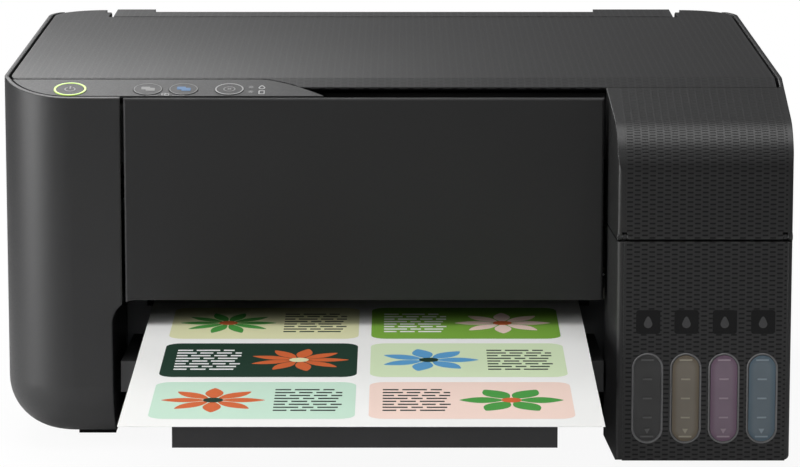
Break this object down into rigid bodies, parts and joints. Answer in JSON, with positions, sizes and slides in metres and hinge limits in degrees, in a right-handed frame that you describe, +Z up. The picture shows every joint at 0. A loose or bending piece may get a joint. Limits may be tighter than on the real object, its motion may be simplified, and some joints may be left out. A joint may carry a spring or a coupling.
{
  "type": "inkjet printer",
  "caption": "Charcoal ink-tank printer with a flatbed scanner under a textured lid, a tank block at the front right and a drawn-out tray holding a printed sheet.",
  "frame": {"origin": "on the table, under the middle of the printer with its output tray drawn out", "axes": "+X to the right seen from the front, +Y to the back, +Z up"},
  "size_m": [0.375, 0.5075, 0.179],
  "materials": {
    "shell_charcoal": "fine grain",
    "textured_charcoal": "woven brick texture",
    "inner_black": "plain",
    "tray_grey": "plain",
    "button_charcoal": "satin",
    "light_ring": "lit",
    "scanner_glass": "polished",
    "bright_steel": "plated",
    "foot_rubber": "moulded",
    "gear_white": "moulded",
    "tank_smoke": "translucent smoke",
    "cap_black": "moulded",
    "cap_yellow": "moulded",
    "cap_magenta": "moulded",
    "cap_cyan": "moulded",
    "tube_clear": "translucent",
    "board_green": "solder mask",
    "supply_black": "plain",
    "pad_white": "foam with film",
    "paper_white": "printed paper"
  },
  "bodies": {
    "chassis": {"base_case": "shell_charcoal", "outer_case": "shell_charcoal", "front_panel": "shell_charcoal", "rubber_feet": "foot_rubber", "housing_screws": "bright_steel", "tank_housing": "shell_charcoal", "tank_front_plate": "textured_charcoal", "ink_tank_black": "tank_smoke", "ink_tank_yellow": "tank_smoke", "ink_tank_magenta": "tank_smoke", "ink_tank_cyan": "tank_smoke", "hinge_pins": "bright_steel", "main_frame": "bright_steel", "carriage_rail": "bright_steel", "carriage_motor": "bright_steel", "carriage_belt": "inner_black", "platen": "inner_black", "feed_motor": "bright_steel", "cap_station": "inner_black", "main_board": "board_green", "power_supply": "supply_black", "paper_hopper": "inner_black", "roller_bushes": "gear_white", "output_tray": "tray_grey", "ink_tubes": "tube_clear"},
    "scanner_unit": {"scanner_base": "inner_black", "scanner_top": "inner_black", "scanner_glass": "scanner_glass", "control_panel": "shell_charcoal", "power_light_ring": "light_ring", "scan_rail": "bright_steel"},
    "document_lid": {"document_cover": "textured_charcoal", "document_pad": "pad_white"},
    "carriage": {"carriage": "inner_black", "print_head": "inner_black"},
    "power_button": {"power_button": "button_charcoal"},
    "mono_copy_button": {"mono_copy_button": "button_charcoal"},
    "colour_copy_button": {"colour_copy_button": "button_charcoal"},
    "stop_button": {"stop_button": "button_charcoal"},
    "scan_head": {"scan_head": "inner_black"},
    "tank_cover": {"tank_cover": "textured_charcoal"},
    "ink_cap_black": {"ink_cap_black": "cap_black"},
    "ink_cap_yellow": {"ink_cap_yellow": "cap_yellow"},
    "ink_cap_magenta": {"ink_cap_magenta": "cap_magenta"},
    "ink_cap_cyan": {"ink_cap_cyan": "cap_cyan"},
    "motor_pulley": {"motor_pulley": "gear_white"},
    "idler_pulley": {"idler_pulley": "gear_white"},
    "feed_roller": {"feed_roller": "foot_rubber"},
    "idler_gear": {"idler_gear": "gear_white"},
    "exit_roller": {"exit_roller": "gear_white"},
    "motor_pinion": {"motor_pinion": "gear_white"},
    "pinch_rollers": {"pinch_rollers": "gear_white"},
    "star_wheels": {"star_wheels": "gear_white"},
    "pickup_roller": {"pickup_roller": "foot_rubber"},
    "paper_support": {"paper_support": "textured_charcoal"},
    "edge_guide_left": {"edge_guide_left": "inner_black"},
    "edge_guide_right": {"edge_guide_right": "inner_black"},
    "tray_extension_inner": {"tray_extension_inner": "tray_grey"},
    "tray_extension_outer": {"tray_extension_outer": "tray_grey"},
    "printed_sheet": {"printed_sheet": "paper_white"}
  },
  "joints": [
    {"name": "scanner_hinge", "type": "hinge", "parent": "chassis", "child": "scanner_unit", "pos_m": [0, 0.24825, 0.1748], "axis": [-1, 0, 0], "range_deg": [0, 30]},
    {"name": "lid_hinge", "type": "hinge", "parent": "scanner_unit", "child": "document_lid", "pos_m": [0, 0.24825, 0.1748], "axis": [-1, 0, 0], "range_deg": [0, 60]},
    {"name": "power_press", "type": "slide", "parent": "scanner_unit", "child": "power_button", "axis": [0, 0.2588, -0.9659], "range_m": [0, 0.0007], "stiffness_N_per_m": 900, "springref_m": -0.0003},
    {"name": "mono_copy_press", "type": "slide", "parent": "scanner_unit", "child": "mono_copy_button", "axis": [0, 0.2588, -0.9659], "range_m": [0, 0.0007], "stiffness_N_per_m": 900, "springref_m": -0.0003},
    {"name": "colour_copy_press", "type": "slide", "parent": "scanner_unit", "child": "colour_copy_button", "axis": [0, 0.2588, -0.9659], "range_m": [0, 0.0007], "stiffness_N_per_m": 900, "springref_m": -0.0003},
    {"name": "stop_press", "type": "slide", "parent": "scanner_unit", "child": "stop_button", "axis": [0, 0.2588, -0.9659], "range_m": [0, 0.0007], "stiffness_N_per_m": 900, "springref_m": -0.0003},
    {"name": "scan_slide", "type": "slide", "parent": "scanner_unit", "child": "scan_head", "axis": [1, 0, 0], "range_m": [0, 0.3]},
    {"name": "tank_cover_hinge", "type": "hinge", "parent": "chassis", "child": "tank_cover", "pos_m": [0, -0.09125, 0.1128], "axis": [1, 0, 0], "range_deg": [0, 90]},
    {"name": "black_cap_hinge", "type": "hinge", "parent": "chassis", "child": "ink_cap_black", "pos_m": [0.1202, -0.05975, 0.1102], "axis": [-1, 0, 0], "range_deg": [0, 100]},
    {"name": "yellow_cap_hinge", "type": "hinge", "parent": "chassis", "child": "ink_cap_yellow", "pos_m": [0.1382, -0.05975, 0.1102], "axis": [-1, 0, 0], "range_deg": [0, 100]},
    {"name": "magenta_cap_hinge", "type": "hinge", "parent": "chassis", "child": "ink_cap_magenta", "pos_m": [0.1562, -0.05975, 0.1102], "axis": [-1, 0, 0], "range_deg": [0, 100]},
    {"name": "cyan_cap_hinge", "type": "hinge", "parent": "chassis", "child": "ink_cap_cyan", "pos_m": [0.1742, -0.05975, 0.1102], "axis": [-1, 0, 0], "range_deg": [0, 100]},
    {"name": "carriage_slide", "type": "slide", "parent": "chassis", "child": "carriage", "axis": [-1, 0, 0], "range_m": [0, 0.246], "deforming": ["ink_tubes"]},
    {"name": "motor_pulley_spin", "type": "hinge", "parent": "chassis", "child": "motor_pulley", "pos_m": [-0.152, 0.12425, 0.112], "axis": [0, 1, 0], "range_deg": [-10, 3000]},
    {"name": "idler_pulley_spin", "type": "hinge", "parent": "chassis", "child": "idler_pulley", "pos_m": [0.152, 0.12425, 0.112], "axis": [0, 1, 0], "range_deg": [-10, 3000]},
    {"name": "feed_spin", "type": "hinge", "parent": "chassis", "child": "feed_roller", "pos_m": [0, 0.12025, 0.058], "axis": [1, 0, 0], "continuous": true},
    {"name": "idler_spin", "type": "hinge", "parent": "chassis", "child": "idler_gear", "pos_m": [0, 0.08625, 0.058], "axis": [1, 0, 0], "continuous": true},
    {"name": "exit_spin", "type": "hinge", "parent": "chassis", "child": "exit_roller", "pos_m": [0, 0.05225, 0.058], "axis": [1, 0, 0], "continuous": true},
    {"name": "pinion_spin", "type": "hinge", "parent": "chassis", "child": "motor_pinion", "pos_m": [0, 0.14103, 0.046], "axis": [1, 0, 0], "continuous": true},
    {"name": "pinch_spin", "type": "hinge", "parent": "chassis", "child": "pinch_rollers", "pos_m": [0, 0.12025, 0.0683], "axis": [1, 0, 0], "continuous": true},
    {"name": "star_spin", "type": "hinge", "parent": "chassis", "child": "star_wheels", "pos_m": [0, 0.05225, 0.0677], "axis": [1, 0, 0], "continuous": true},
    {"name": "pickup_spin", "type": "hinge", "parent": "chassis", "child": "pickup_roller", "pos_m": [0, 0.17025, 0.084], "axis": [1, 0, 0], "continuous": true},
    {"name": "support_slide", "type": "slide", "parent": "chassis", "child": "paper_support", "axis": [0, 0.309, 0.9511], "range_m": [0, 0.12]},
    {"name": "left_guide_slide", "type": "slide", "parent": "chassis", "child": "edge_guide_left", "axis": [1, 0, 0], "range_m": [0, 0.054]},
    {"name": "right_guide_slide", "type": "slide", "parent": "chassis", "child": "edge_guide_right", "axis": [1, 0, 0], "range_m": [-0.054, 0]},
    {"name": "inner_tray_slide", "type": "slide", "parent": "chassis", "child": "tray_extension_inner", "axis": [0, -0.9981, 0.061], "range_m": [-0.09, 0]},
    {"name": "outer_tray_slide", "type": "slide", "parent": "tray_extension_inner", "child": "tray_extension_outer", "axis": [0, -0.9981, 0.061], "range_m": [-0.09, 0]},
    {"name": "sheet_slide", "type": "slide", "parent": "chassis", "child": "printed_sheet", "axis": [0, -0.9998, -0.0175], "range_m": [0, 0.12]}
  ],
  "couplings": [
    {"joint": "motor_pulley_spin", "follows": "carriage_slide", "rad_per_m": 200},
    {"joint": "idler_pulley_spin", "follows": "carriage_slide", "rad_per_m": 200},
    {"joint": "idler_spin", "follows": "feed_spin", "ratio": -1.125},
    {"joint": "exit_spin", "follows": "feed_spin", "ratio": 1},
    {"joint": "pinion_spin", "follows": "feed_spin", "ratio": -3},
    {"joint": "pinch_spin", "follows": "feed_spin", "ratio": -1.5},
    {"joint": "star_spin", "follows": "feed_spin", "ratio": -1.25},
    {"joint": "right_guide_slide", "follows": "left_guide_slide", "ratio": -1}
  ]
}
